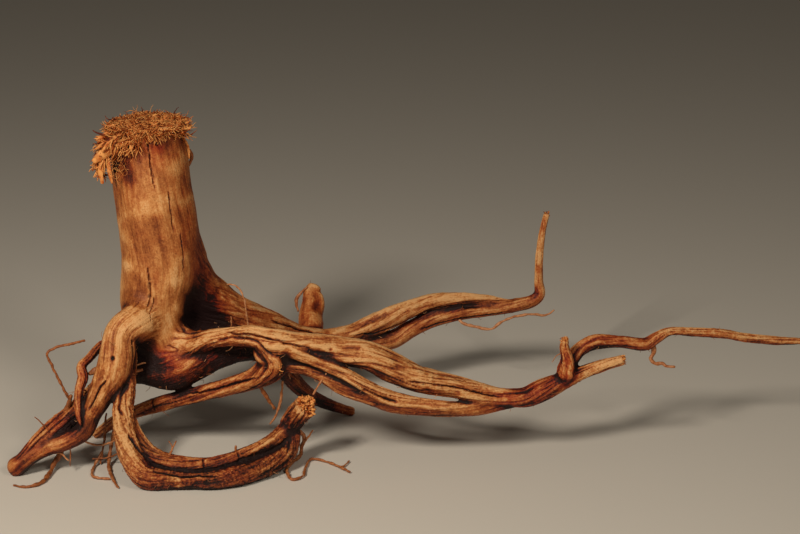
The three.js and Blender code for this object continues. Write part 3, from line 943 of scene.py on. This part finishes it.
def buildStudio():
    camera = bpy.data.objects.new("camera", bpy.data.cameras.new("camera"))
    camera.data.lens, camera.data.sensor_width = studio["lens"], 36
    rise = math.radians(studio["elevation"])
    back = np.array([0, -math.cos(rise), math.sin(rise)]) * studio["distance"]
    camera.location = Vector(toFrame(np.array(studio["aim"]) + back))
    camera.rotation_euler = (math.pi / 2 - rise, 0, 0)
    bpy.context.scene.collection.objects.link(camera)
    bpy.context.scene.camera = camera

    world = bpy.data.worlds.new("studio")
    world.use_nodes = True
    background = world.node_tree.nodes["Background"]
    background.inputs["Color"].default_value = linear(studio["world"])
    background.inputs["Strength"].default_value = studio["worldStrength"]
    bpy.context.scene.world = world
    bpy.context.scene.view_settings.view_transform = "Standard"

    aim = Vector(toFrame(studio["lampAim"]))
    for side, power in ((-1, studio["keyPower"]), (1, studio["fillPower"])):
        light = bpy.data.lights.new("softbox", "AREA")
        light.energy, light.size, light.color = power, studio["lampSize"] * mm, studio["lampColour"]
        lamp = bpy.data.objects.new("softbox", light)
        bearing, height = math.radians(side * studio["lampBearing"]), math.radians(studio["lampHeight"])
        level = math.cos(height)
        away = Vector((math.sin(bearing) * level, -math.cos(bearing) * level, math.sin(height)))
        lamp.location = aim + away * studio["lampDistance"] * mm
        lamp.rotation_mode = "QUATERNION"
        lamp.rotation_quaternion = (-away).to_track_quat("-Z", "Y")
        bpy.context.scene.collection.objects.link(lamp)

    half = studio["floorSize"] / 2 * mm
    corners = [[-half, -half, 0], [half, -half, 0], [half, half, 0], [-half, half, 0]]
    paper = bpy.data.materials.new("matt studio paper")
    paper.use_nodes = True
    paperShader = paper.node_tree.nodes["Principled BSDF"]
    paperShader.inputs["Base Color"].default_value = linear(studio["floor"])
    paperShader.inputs["Roughness"].default_value = 0.9
    floor = meshObject("floor", corners, [[0, 1, 2], [0, 2, 3]], paper)
    print("set up the studio")


def place(piece):  # every piece is part of the one root
    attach(piece, bodyName)
    return piece


# Frayed ends: tufts of short fibres. Each has a number of them, the middle and half size of the box they
# start in, the way they point, how far that strays, and their length, radius and curl in radians.
tufts = {
    "rightWisps": [26, [20, 2, 329], [3, 8, 6], [1, -0.25, 0.0], 0.35, (7, 16), (0.3, 0.5), 1.6],
    "rightChips": [14, [20, -6, 330], [3, 5, 4], [1, -0.4, -0.15], 0.25, (8, 15), (0.6, 1.0), 0.8],
    "highWisps": [26, [12, 24, 335], [8, 10, 2], [0.2, 0.1, 1], 0.6, (4, 9), (0.3, 0.45), 2.2],
    "leftSplinters": [70, [-46, -4, 323], [5, 8, 6], [-1, -0.3, -0.35], 0.28, (8, 16), (0.7, 1.3), 0.9],
    "hangingStrips": [26, [-52, -10, 306], [3, 5, 4], [-0.1, -0.2, -1], 0.25, (7, 14), (0.5, 1.0), 1.0],
    "hollowHairs": [60, [-38, -22, 302], [9, 5, 12], [-0.1, -0.7, -0.6], 0.9, (8, 16), (0.18, 0.28), 4.5],
    "fringeStrands": [130, [-28, -22, 326], [15, 3, 4], [-0.5, -0.5, -1], 0.35, (9, 19), (0.4, 0.85), 1.4],
    "loopEnd": [620, [142, -67, 67], [7.5, 5, 8], [0.62, -0.35, 0.72], 1.3, (1.5, 3.8), (0.8, 1.6), 1.2],
    "archTip": [120, [453, -51, 109.5], [1.5, 3.5, 3.5], [0.95, -0.1, 0.3], 0.3, (2, 4.5), (0.6, 1.1), 0.6],
    "spurTop": [50, [397, -54, 131], [2.5, 2.5, 1.5], [-0.1, -0.1, 1], 0.35, (2, 5), (0.5, 0.9), 0.8],
    "stubTop": [24, [140, 159, 110], [6, 4, 5], [0, -0.2, 1], 0.8, (2, 4), (0.3, 0.5), 1.0],
    "rearTip": [22, [393, 157, 198], [2, 2, 2], [0.2, 0, 1], 0.4, (2, 4), (0.4, 0.7), 0.8],
    "kneeCrumbs": [50, [-70, -60, 74], [6, 5, 8], [-0.6, -0.5, 0.3], 0.9, (3, 8), (0.4, 0.9), 1.8],
    "valleyCrumbs": [30, [26, -24, 126], [10, 5, 4], [0.1, -0.4, 0.6], 0.9, (3, 9), (0.25, 0.5), 2.4],
    "archCrumbs": [60, [112, -64, 110], [6, 4, 10], [0.3, -1, 0], 0.8, (2, 6), (0.4, 0.9), 1.6],
}
crown = {
    "centre": [-14, 12, 336.6], "radius": 34.5, "dome": 4.2, "matCount": 2600, "rimCount": 1900,
    "lipCount": 420, "length": (5, 13), "thickness": (0.4, 0.95), "curl": 2.0,
}
# Flat splinters left hanging from the broken top: where each starts and ends, and its width
splinters = [
    [[-55, -13, 305], [-57, -15, 294], [-56, -15, 281], 3.0],
    [[-49, -14, 305], [-48, -18, 293], [-46, -18, 282], 2.3],
    [[-42, -11, 315], [-54, -16, 310], [-63, -16, 303], 4.8],
    [[-44, -8, 331], [-52, -11, 329], [-60, -11, 324], 1.7],
    [[-44, -11, 324], [-53, -14, 320], [-61, -14, 315], 1.9],
    [[-36, 2, 336], [-46, -2, 335], [-53, -4, 331], 1.6],
    [[-30, -16, 334], [-38, -21, 330], [-46, -22, 322], 1.5],
    [[-40, -14, 328], [-48, -19, 322], [-54, -20, 314], 1.6],
    [[-56, 2, 312], [-61, 4, 304], [-61, 4, 292], 2.2],
    [[-56, 10, 312], [-61, 12, 302], [-58, 12, 290], 2.2],
    [[-42, 18, 326], [-51, 20, 322], [-57, 20, 312], 2.2],
    [[22, 6, 322], [26, 9, 312], [27, 8, 300], 1.6],
]


def fibres(bases, directions, lengths, radii, curls, random, steps=7, sides=4):
    # Fibres as arcs: the direction turns steadily from d towards a random direction e across it, so a point
    # at share t is base + length * (d sin(ct) + e (1 - cos(ct))) / c, with c the curl; a small wave is laid
    # over it.
    count = len(bases)
    ahead = directions / np.linalg.norm(directions, axis=1)[:, None]
    across = np.cross(ahead, random.normal(size=(count, 3)))
    across /= np.linalg.norm(across, axis=1)[:, None]
    t = np.linspace(0, 1, steps)[None, :, None]
    c = np.maximum(np.abs(curls), 0.05)[:, None, None]
    wave = 0.05 * np.sin(t * random.uniform(6, 14, (count, 1, 1)) + random.uniform(0, 6, (count, 1, 1))) * t
    third = np.cross(ahead, across)[:, None]
    arc = (ahead[:, None] * np.sin(c * t) + across[:, None] * (1 - np.cos(c * t))) / c + third * wave
    centres = bases[:, None] + lengths[:, None, None] * arc
    taper = radii[:, None] * (1 - 0.55 * np.linspace(0, 1, steps) ** 2)[None]
    points, faces = sweep(centres, taper, sides, (0.6, 0.6), 1)
    return points, faces, np.repeat(random.uniform(0, 1, count), len(points) // count)


def joined(parts):  # several sets of points, faces and tints as one
    starts = np.cumsum([0] + [len(points) for points, _, _ in parts[:-1]])
    return (
        np.concatenate([points for points, _, _ in parts]),
        np.concatenate([faces + start for (_, faces, _), start in zip(parts, starts)]),
        np.concatenate([tints for _, _, tints in parts]),
    )


def locks(bases, size):  # a slowly turning direction at each point, so that near fibres lie as one lock
    return np.stack([noise(bases / size + 20 * i, 50 + i) for i in range(3)], 1)


def crownMat(random):  # the mat on the stump's broken top, spread over a disc
    count, size = crown["matCount"], crown["radius"]
    spread = lambda low, high: random.uniform(low, high, count)
    turn, share = spread(0, 2 * math.pi), np.sqrt(spread(0, 1))
    out = np.stack([np.cos(turn), np.sin(turn), np.zeros(count)], 1)
    bases = crown["centre"] + out * (share * size)[:, None]
    ways = out * (0.3 + 0.7 * share)[:, None] + 1.9 * locks(bases, 8) + random.normal(size=(count, 3)) * 0.4
    ways[:, 2] = 0.3 * ways[:, 2]
    points, faces, tints = fibres(bases, ways, spread(*crown["length"]), spread(*crown["thickness"]),
                                  spread(0.4, crown["curl"]), random, 6, 3)
    # pressed down onto a low dome, lower at the left, so that few of them stand up
    away = np.linalg.norm(points[:, :2] - crown["centre"][:2], axis=1) / size
    dome = crown["dome"] * (1 - np.minimum(away, 1.3) ** 2) + 1.5 * noise(points / [9, 9, 400], 57)
    dome -= 0.1 * np.maximum(crown["centre"][0] - 8 - points[:, 0], 0)
    points[:, 2] = crown["centre"][2] + dome + 0.4 * (points[:, 2] - crown["centre"][2])
    return points, faces, tints


def crownFringe(random):  # the fibres that hang over the rim, lower at the left, and those on the lip
    spread = lambda low, high: random.uniform(low, high, count)
    count = crown["rimCount"]
    turn = spread(0, 2 * math.pi)
    out = np.stack([np.cos(turn), np.sin(turn), np.zeros(count)], 1)
    drop = spread(0, 1) ** 1.4 * np.maximum(10 + 9 * noise(out * 1.7 + 5, 31) - 9 * out[:, 0], 2)
    bases = np.array(crown["centre"]) + out * (crown["radius"] + 1.2) - [0, 0, 1] * drop[:, None]
    ways = out * 0.45 + 1.5 * locks(bases, 7) + random.normal(size=(count, 3)) * 0.3 - [0.15, 0, 0.8]
    rim = fibres(bases, ways, spread(5, 13), spread(0.3, 0.75), spread(0.4, 2.2), random, 6, 3)
    lip, count = roots["frayedLip"], crown["lipCount"]
    ring = random.integers(0, len(lip["centre"]), count)
    turn = spread(0, 2 * math.pi)
    ahead, side, up = lip["frames"]
    out = side[ring] * np.cos(turn)[:, None] + up[ring] * np.sin(turn)[:, None]
    bases = lip["centre"][ring] + out * (lip["radius"][ring] * 0.9)[:, None]
    ways = ahead[ring] * 1.1 + out * 0.25 + locks(bases, 6) + random.normal(size=(count, 3)) * 0.25
    return [rim, fibres(bases, ways, spread(5, 11), spread(0.4, 0.95), spread(0.2, 1.4), random, 6, 3)]


def tuftParts(random):
    parts = []
    for count, middle, half, way, stray, length, radius, curl in tufts.values():
        bases = np.array(middle) + random.uniform(-1, 1, (count, 3)) * half
        ways = unit(np.array(way, float)[None])[0] + random.normal(size=(count, 3)) * stray
        parts.append(fibres(
            bases, ways, random.uniform(*length, count), random.uniform(*radius, count),
            random.uniform(0.15, curl, count), random,
        ))
    return parts


def splinterParts():
    # Each splinter is a flattened tube along a bend through its three points, with a ragged outline
    parts = []
    for index, (start, middle, end, width) in enumerate(splinters):
        stations = [start + [width * 0.8], middle + [width], end + [width * 0.6]]
        along, centre, radius = splinePath(stations, 1.0)
        radius = radius * (1 + 0.22 * noise(np.stack([along / 3, along * 0 + index, along * 0], 1), 33))
        shape = lambda ring, turn: 1 + 0.18 * noise(np.stack(np.broadcast_arrays(
            ring[:, None] / 4.0, np.cos(turn) * 1.5 + index, np.sin(turn) * 1.5
        ), -1), 34)
        points, faces = sweep(centre[None], radius[None], 14, (0.5, 0.4), 2, shape, 0.42)
        parts.append((points, faces, 0.62 + 0.25 * noise(points / [5, 5, 9], 37)))
    return parts


# Frayed wood fibre, torn and dried: golden where it is thin and fresh, browner where it has weathered.
fibreLook = {"dark": "#581c08", "body": "#bc5c1e", "light": "#eca45a", "clumpSize": 7, "roughness": 0.6}


def fibreMaterial():
    material = bpy.data.materials.new("wood fibre, torn and dried")
    material.use_nodes = True
    tree = material.node_tree
    tree.nodes.clear()
    tint = addNode(tree, "ShaderNodeAttribute", {"attribute_name": "tint"}).outputs["Fac"]
    place = addNode(tree, "ShaderNodeTexCoord").outputs["Object"]
    clump = addNode(
        tree, "ShaderNodeTexNoise", None,
        {"Vector": place, "Scale": 1 / (fibreLook["clumpSize"] * mm), "Detail": 3.0, "Roughness": 0.6},
    ).outputs["Fac"]
    tone = -0.35  # each fibre's tint and its clump, between them 0 to 1
    for value, share in ((tint, 0.7), (clump, 1.1)):
        tone = addNode(
            tree, "ShaderNodeMath", {"operation": "MULTIPLY_ADD"}, {0: value, 1: share, 2: tone}
        ).outputs[0]
    ramp = addNode(tree, "ShaderNodeValToRGB", None, {"Fac": tone})
    setRamp(ramp, fibreLook, [(0.2, "dark"), (0.48, "body"), (0.74, "light")])
    shader = addNode(tree, "ShaderNodeBsdfPrincipled", None, {
        "Roughness": fibreLook["roughness"], "IOR": 1.45, "Specular IOR Level": 0.3,
        "Base Color": ramp.outputs["Color"],
    })
    addNode(tree, "ShaderNodeOutputMaterial", None, {"Surface": shader.outputs["BSDF"]})
    return material


# Rootlets too thin for the wood's own skin: [x, y, z, radius] along each
rootlets = {
    "bentTwig": [
        [-76, -50, 130, 1.5], [-87, -56, 129, 1.6], [-100, -62, 128, 1.5], [-110, -66, 123, 1.5],
        [-107, -66, 112, 1.5], [-100, -64, 93, 1.6], [-92, -62, 73, 1.6],
    ],
    "twigFoot": [[-90, -62, 76, 2.2], [-95, -60, 62, 3.4], [-103, -58, 52, 3.2]],
    "twigStub": [[-52, -50, 106, 4.2], [-62, -52, 102, 4.0], [-71, -54, 97, 3.0]],
    "toeTwig": [[-108, -70, 42, 0.8], [-113, -74, 47, 0.8], [-118, -77, 54, 0.8], [-123, -80, 61, 0.6]],
    "floorTwig": [
        [-100, -66, 20, 3.2], [-108, -70, 9, 3.0], [-111, -83, 3, 2.6], [-117, -106, 2.2, 2.2],
        [-129, -113, 1.8, 1.6], [-142, -109, 1.2, 1.0],
    ],
    "toeHair": [[-91, -76, 30, 0.8], [-91, -78, 17, 0.7], [-91, -80, 9, 0.5]],
    "toeUnder": [[-122, -80, 26, 1.4], [-112, -81, 24, 1.2], [-100, -80, 22, 1.2], [-93, -80, 15, 0.9]],
    "hangingA": [[-59, -44, 50, 1.2], [-61, -50, 26, 1.4], [-63, -54, 13, 1.3], [-65, -58, 2, 1.0]],
    "hangingB": [
        [-46, -44, 60, 1.8], [-53, -50, 25, 2.2], [-56, -57, 8, 2.2], [-55, -68, 3, 2.2], [-48, -93, 2, 2.0],
        [-39, -115, 1.4, 1.2],
    ],
    "hangingC": [
        [-63, -54, 14, 1.2], [-67, -58, 7, 1.6], [-70, -64, 2.5, 1.6], [-67, -90, 2, 1.6], [-51, -95, 2, 1.4],
    ],
    "crossing": [
        [-88, -66, 34, 0.9], [-80, -62, 28, 1.1], [-67, -58, 22, 1.2],
        [-50, -62, 28, 1.0], [-38, -72, 44, 0.9],
    ],
    "crossingLow": [[-72, -60, 8, 0.8], [-59, -60, 9, 0.9], [-49, -62, 13, 0.8], [-42, -66, 22, 0.7]],
    "slitStub": [[-46, -46, 94, 2.4], [-34, -42, 93, 2.2], [-24, -38, 94, 1.6], [-14, -34, 97, 1.2]],
    "slitFork": [[-42, -48, 101, 1.3], [-31, -44, 101, 1.2], [-18, -40, 103, 0.9]],
    "underA": [[94, -48, 88, 2.4], [98, -46, 76, 2.2], [103, -44, 66, 2.2], [109, -42, 55, 1.6]],
    "underB": [[118, -44, 84, 1.5], [116, -40, 65, 1.4], [111, -42, 48, 1.4], [105, -44, 39, 1.0]],
    "lightTwig": [[163, -60, 101, 1.3], [161, -62, 97, 1.2], [155, -64, 89, 1.3], [150, -66, 80, 1.2]],
    "prongs": [
        [132, -54, 38, 2.6], [139, -50, 28, 2.4], [136, -44, 14, 2.4], [134, -44, 4, 2.2], [127, -57, 3, 2.2],
        [123, -80, 3, 1.9], [129, -96, 2, 1.7], [138, -91, 2, 1.6], [141, -67, 2, 1.5], [146, -47, 2, 1.5],
        [160, -52, 2, 1.5], [177, -69, 2, 1.4], [185, -78, 2, 1.2],
    ],
    "prongFork": [[170, -62, 2, 1.4], [177, -66, 2, 1.2], [184, -52, 2, 0.9]],
    "prongTop": [[136, -46, 16, 1.8], [143, -52, 28, 1.2], [148, -56, 37, 0.9]],
    "tuftStem": [[6, -99, 22, 1.7], [9, -100, 28, 1.5], [13, -100, 36, 1.2], [17, -100, 44, 0.7]],
    "tuftFork": [[12, -100, 34, 0.9], [13, -100, 38, 0.8], [10, -100, 44, 0.5]],
    "tinyStub": [[74, -91, 26, 1.1], [74, -92, 30, 1.0], [74, -92, 35, 1.3]],
    "curlA": [
        [50, 40, 148, 1.1], [53, 39, 154, 1.0], [60, 36, 160, 1.0], [70, 30, 158, 1.0], [76, 20, 151, 1.0],
        [80, 0, 143, 1.0], [84, -30, 140, 1.0], [86, -46, 136, 1.0],
    ],
    "curlB": [[59, 36, 137, 0.9], [62, 24, 133, 0.9], [64, 8, 129, 0.8], [66, -30, 128, 0.7]],
    "rearTwig": [
        [284, 140, 96, 2.4], [295, 140, 89, 2.0], [303, 136, 82, 2.0],
        [317, 132, 79, 2.0], [333, 130, 77, 1.8],
        [347, 132, 86, 1.7], [364, 134, 91, 1.6], [379, 136, 92, 1.5],
        [393, 138, 90, 1.3], [402, 138, 96, 1.0],
    ],
    "longTwig": [
        [487, -18, 118, 3.8], [490, -19, 107, 2.9], [487, -20, 100, 2.6],
        [491, -21, 95, 2.2], [499, -22, 95, 1.8],
        [503, -24, 93, 1.5], [510, -24, 92.5, 1.3],
    ],
    "barkSliver": [[134, 152, 117, 1.4], [129, 152, 113, 1.7], [122, 150, 103, 2.2], [124, 146, 92, 1.1]],
    "spurHairA": [[398, -52, 122, 0.8], [395, -52, 119, 0.7], [389, -54, 115, 0.6], [385, -56, 110, 0.4]],
    "spurHairB": [[404, -50, 90, 0.8], [400, -52, 84, 0.7], [393, -56, 78, 0.6], [385, -60, 78, 0.4]],
    "edgeFlake": [[22, 16, 308, 1.6], [26, 20, 305, 2.0], [28, 22, 298, 2.4], [25, 22, 289, 1.4]],
}


def rootletParts(random):
    # Each rootlet is a tube along its spline whose radius swells and pinches with slow noise
    parts = []
    for index, stations in enumerate(rootlets.values()):
        along, centre, radius = splinePath(stations, 1.6)
        spot = np.stack([along / 5, np.full(len(along), index * 3.1), along * 0], 1)
        radius = radius * (0.86 + 0.4 * noise(spot, 35))
        centre = centre + 0.6 * np.stack([noise(spot + 9 * i, 36) for i in range(1, 4)], 1)
        centre[:, 2] = np.maximum(centre[:, 2], radius + 0.1)
        points, faces = sweep(centre[None], radius[None], 9, (1, 1), 2)
        parts.append((points, faces, np.full(len(points), random.uniform(0.1, 0.8))))
    return parts


hairs = {"count": 420, "length": (3, 11), "thickness": (0.16, 0.34), "curl": 2.4, "lowest": 4, "highest": 150}


def hairParts(wood, random):
    # Fine hairs left on the sides and undersides of the roots: they start at random points of the wood's skin
    # that face sideways or down, and lean along its normal
    points, _, normals = meshArrays(wood.data)
    points = fromFrame(points)
    hairy = (normals[:, 2] < 0.35) & (points[:, 2] > hairs["lowest"]) & (points[:, 2] < hairs["highest"])
    picked = random.choice(np.flatnonzero(hairy), hairs["count"], replace=False)
    ways = normals[picked] + random.normal(size=(len(picked), 3)) * 0.6
    long = random.uniform(*hairs["length"], len(picked)) * random.uniform(0.3, 1, len(picked))
    long = np.minimum(long, points[picked, 2] - 1)  # so that none reaches below the ground
    return [fibres(
        points[picked], ways, long, random.uniform(*hairs["thickness"], len(picked)),
        random.uniform(0.2, hairs["curl"], len(picked)), random, 6, 3,
    )]


# Rootlets that have kept their thin bark: red-brown, a little shiny, paler where it has flaked away.
rootletLook = {"dark": "#54240e", "body": "#a15a28", "light": "#dca070", "flakeSize": 4, "roughness": 0.55}


def rootletMaterial():
    material = bpy.data.materials.new("rootlet bark, dried")
    material.use_nodes = True
    tree = material.node_tree
    tree.nodes.clear()
    tint = addNode(tree, "ShaderNodeAttribute", {"attribute_name": "tint"}).outputs["Fac"]
    place = addNode(tree, "ShaderNodeTexCoord").outputs["Object"]
    flakes = addNode(
        tree, "ShaderNodeTexNoise", None,
        {"Vector": place, "Scale": 1 / (rootletLook["flakeSize"] * mm), "Detail": 4.0, "Roughness": 0.65},
    ).outputs["Fac"]
    tone = -0.2  # each rootlet's tint and its flakes, between them 0 to 1
    for value, share in ((tint, 0.45), (flakes, 1.0)):
        tone = addNode(
            tree, "ShaderNodeMath", {"operation": "MULTIPLY_ADD"}, {0: value, 1: share, 2: tone}
        ).outputs[0]
    ramp = addNode(tree, "ShaderNodeValToRGB", None, {"Fac": tone})
    setRamp(ramp, rootletLook, [(0.15, "dark"), (0.45, "body"), (0.85, "light")])
    bump = addNode(tree, "ShaderNodeBump", None, {"Strength": 0.6, "Distance": 0.5 * mm, "Height": flakes})
    shader = addNode(tree, "ShaderNodeBsdfPrincipled", None, {
        "Roughness": rootletLook["roughness"], "IOR": 1.45, "Base Color": ramp.outputs["Color"],
        "Normal": bump.outputs["Normal"],
    })
    addNode(tree, "ShaderNodeOutputMaterial", None, {"Surface": shader.outputs["BSDF"]})
    return material


def tintedPiece(name, parts, material):  # several parts as one object whose points carry their tint
    points, faces, tints = joined(parts)
    made = meshObject(name, toFrame(points), faces, material)
    setAttribute(made.data, "tint", tints)
    print(name, len(faces), "triangles")
    return place(made)


buildStudio()
wood = buildWood()
paintWood(wood)
wood.data.materials.append(woodMaterial())
place(wood)
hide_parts("dry_root")

random = np.random.default_rng(11)
fibreStuff, rootletStuff = fibreMaterial(), rootletMaterial()
tintedPiece("crown_mat", [crownMat(random)], fibreStuff)
tintedPiece("crown_fringe", crownFringe(random), fibreStuff)
tintedPiece("torn_ends", tuftParts(random), fibreStuff)
tintedPiece("splinters", splinterParts(), fibreStuff)
tintedPiece("rootlets", rootletParts(random), rootletStuff)
tintedPiece("fine_hairs", hairParts(wood, random), rootletStuff)
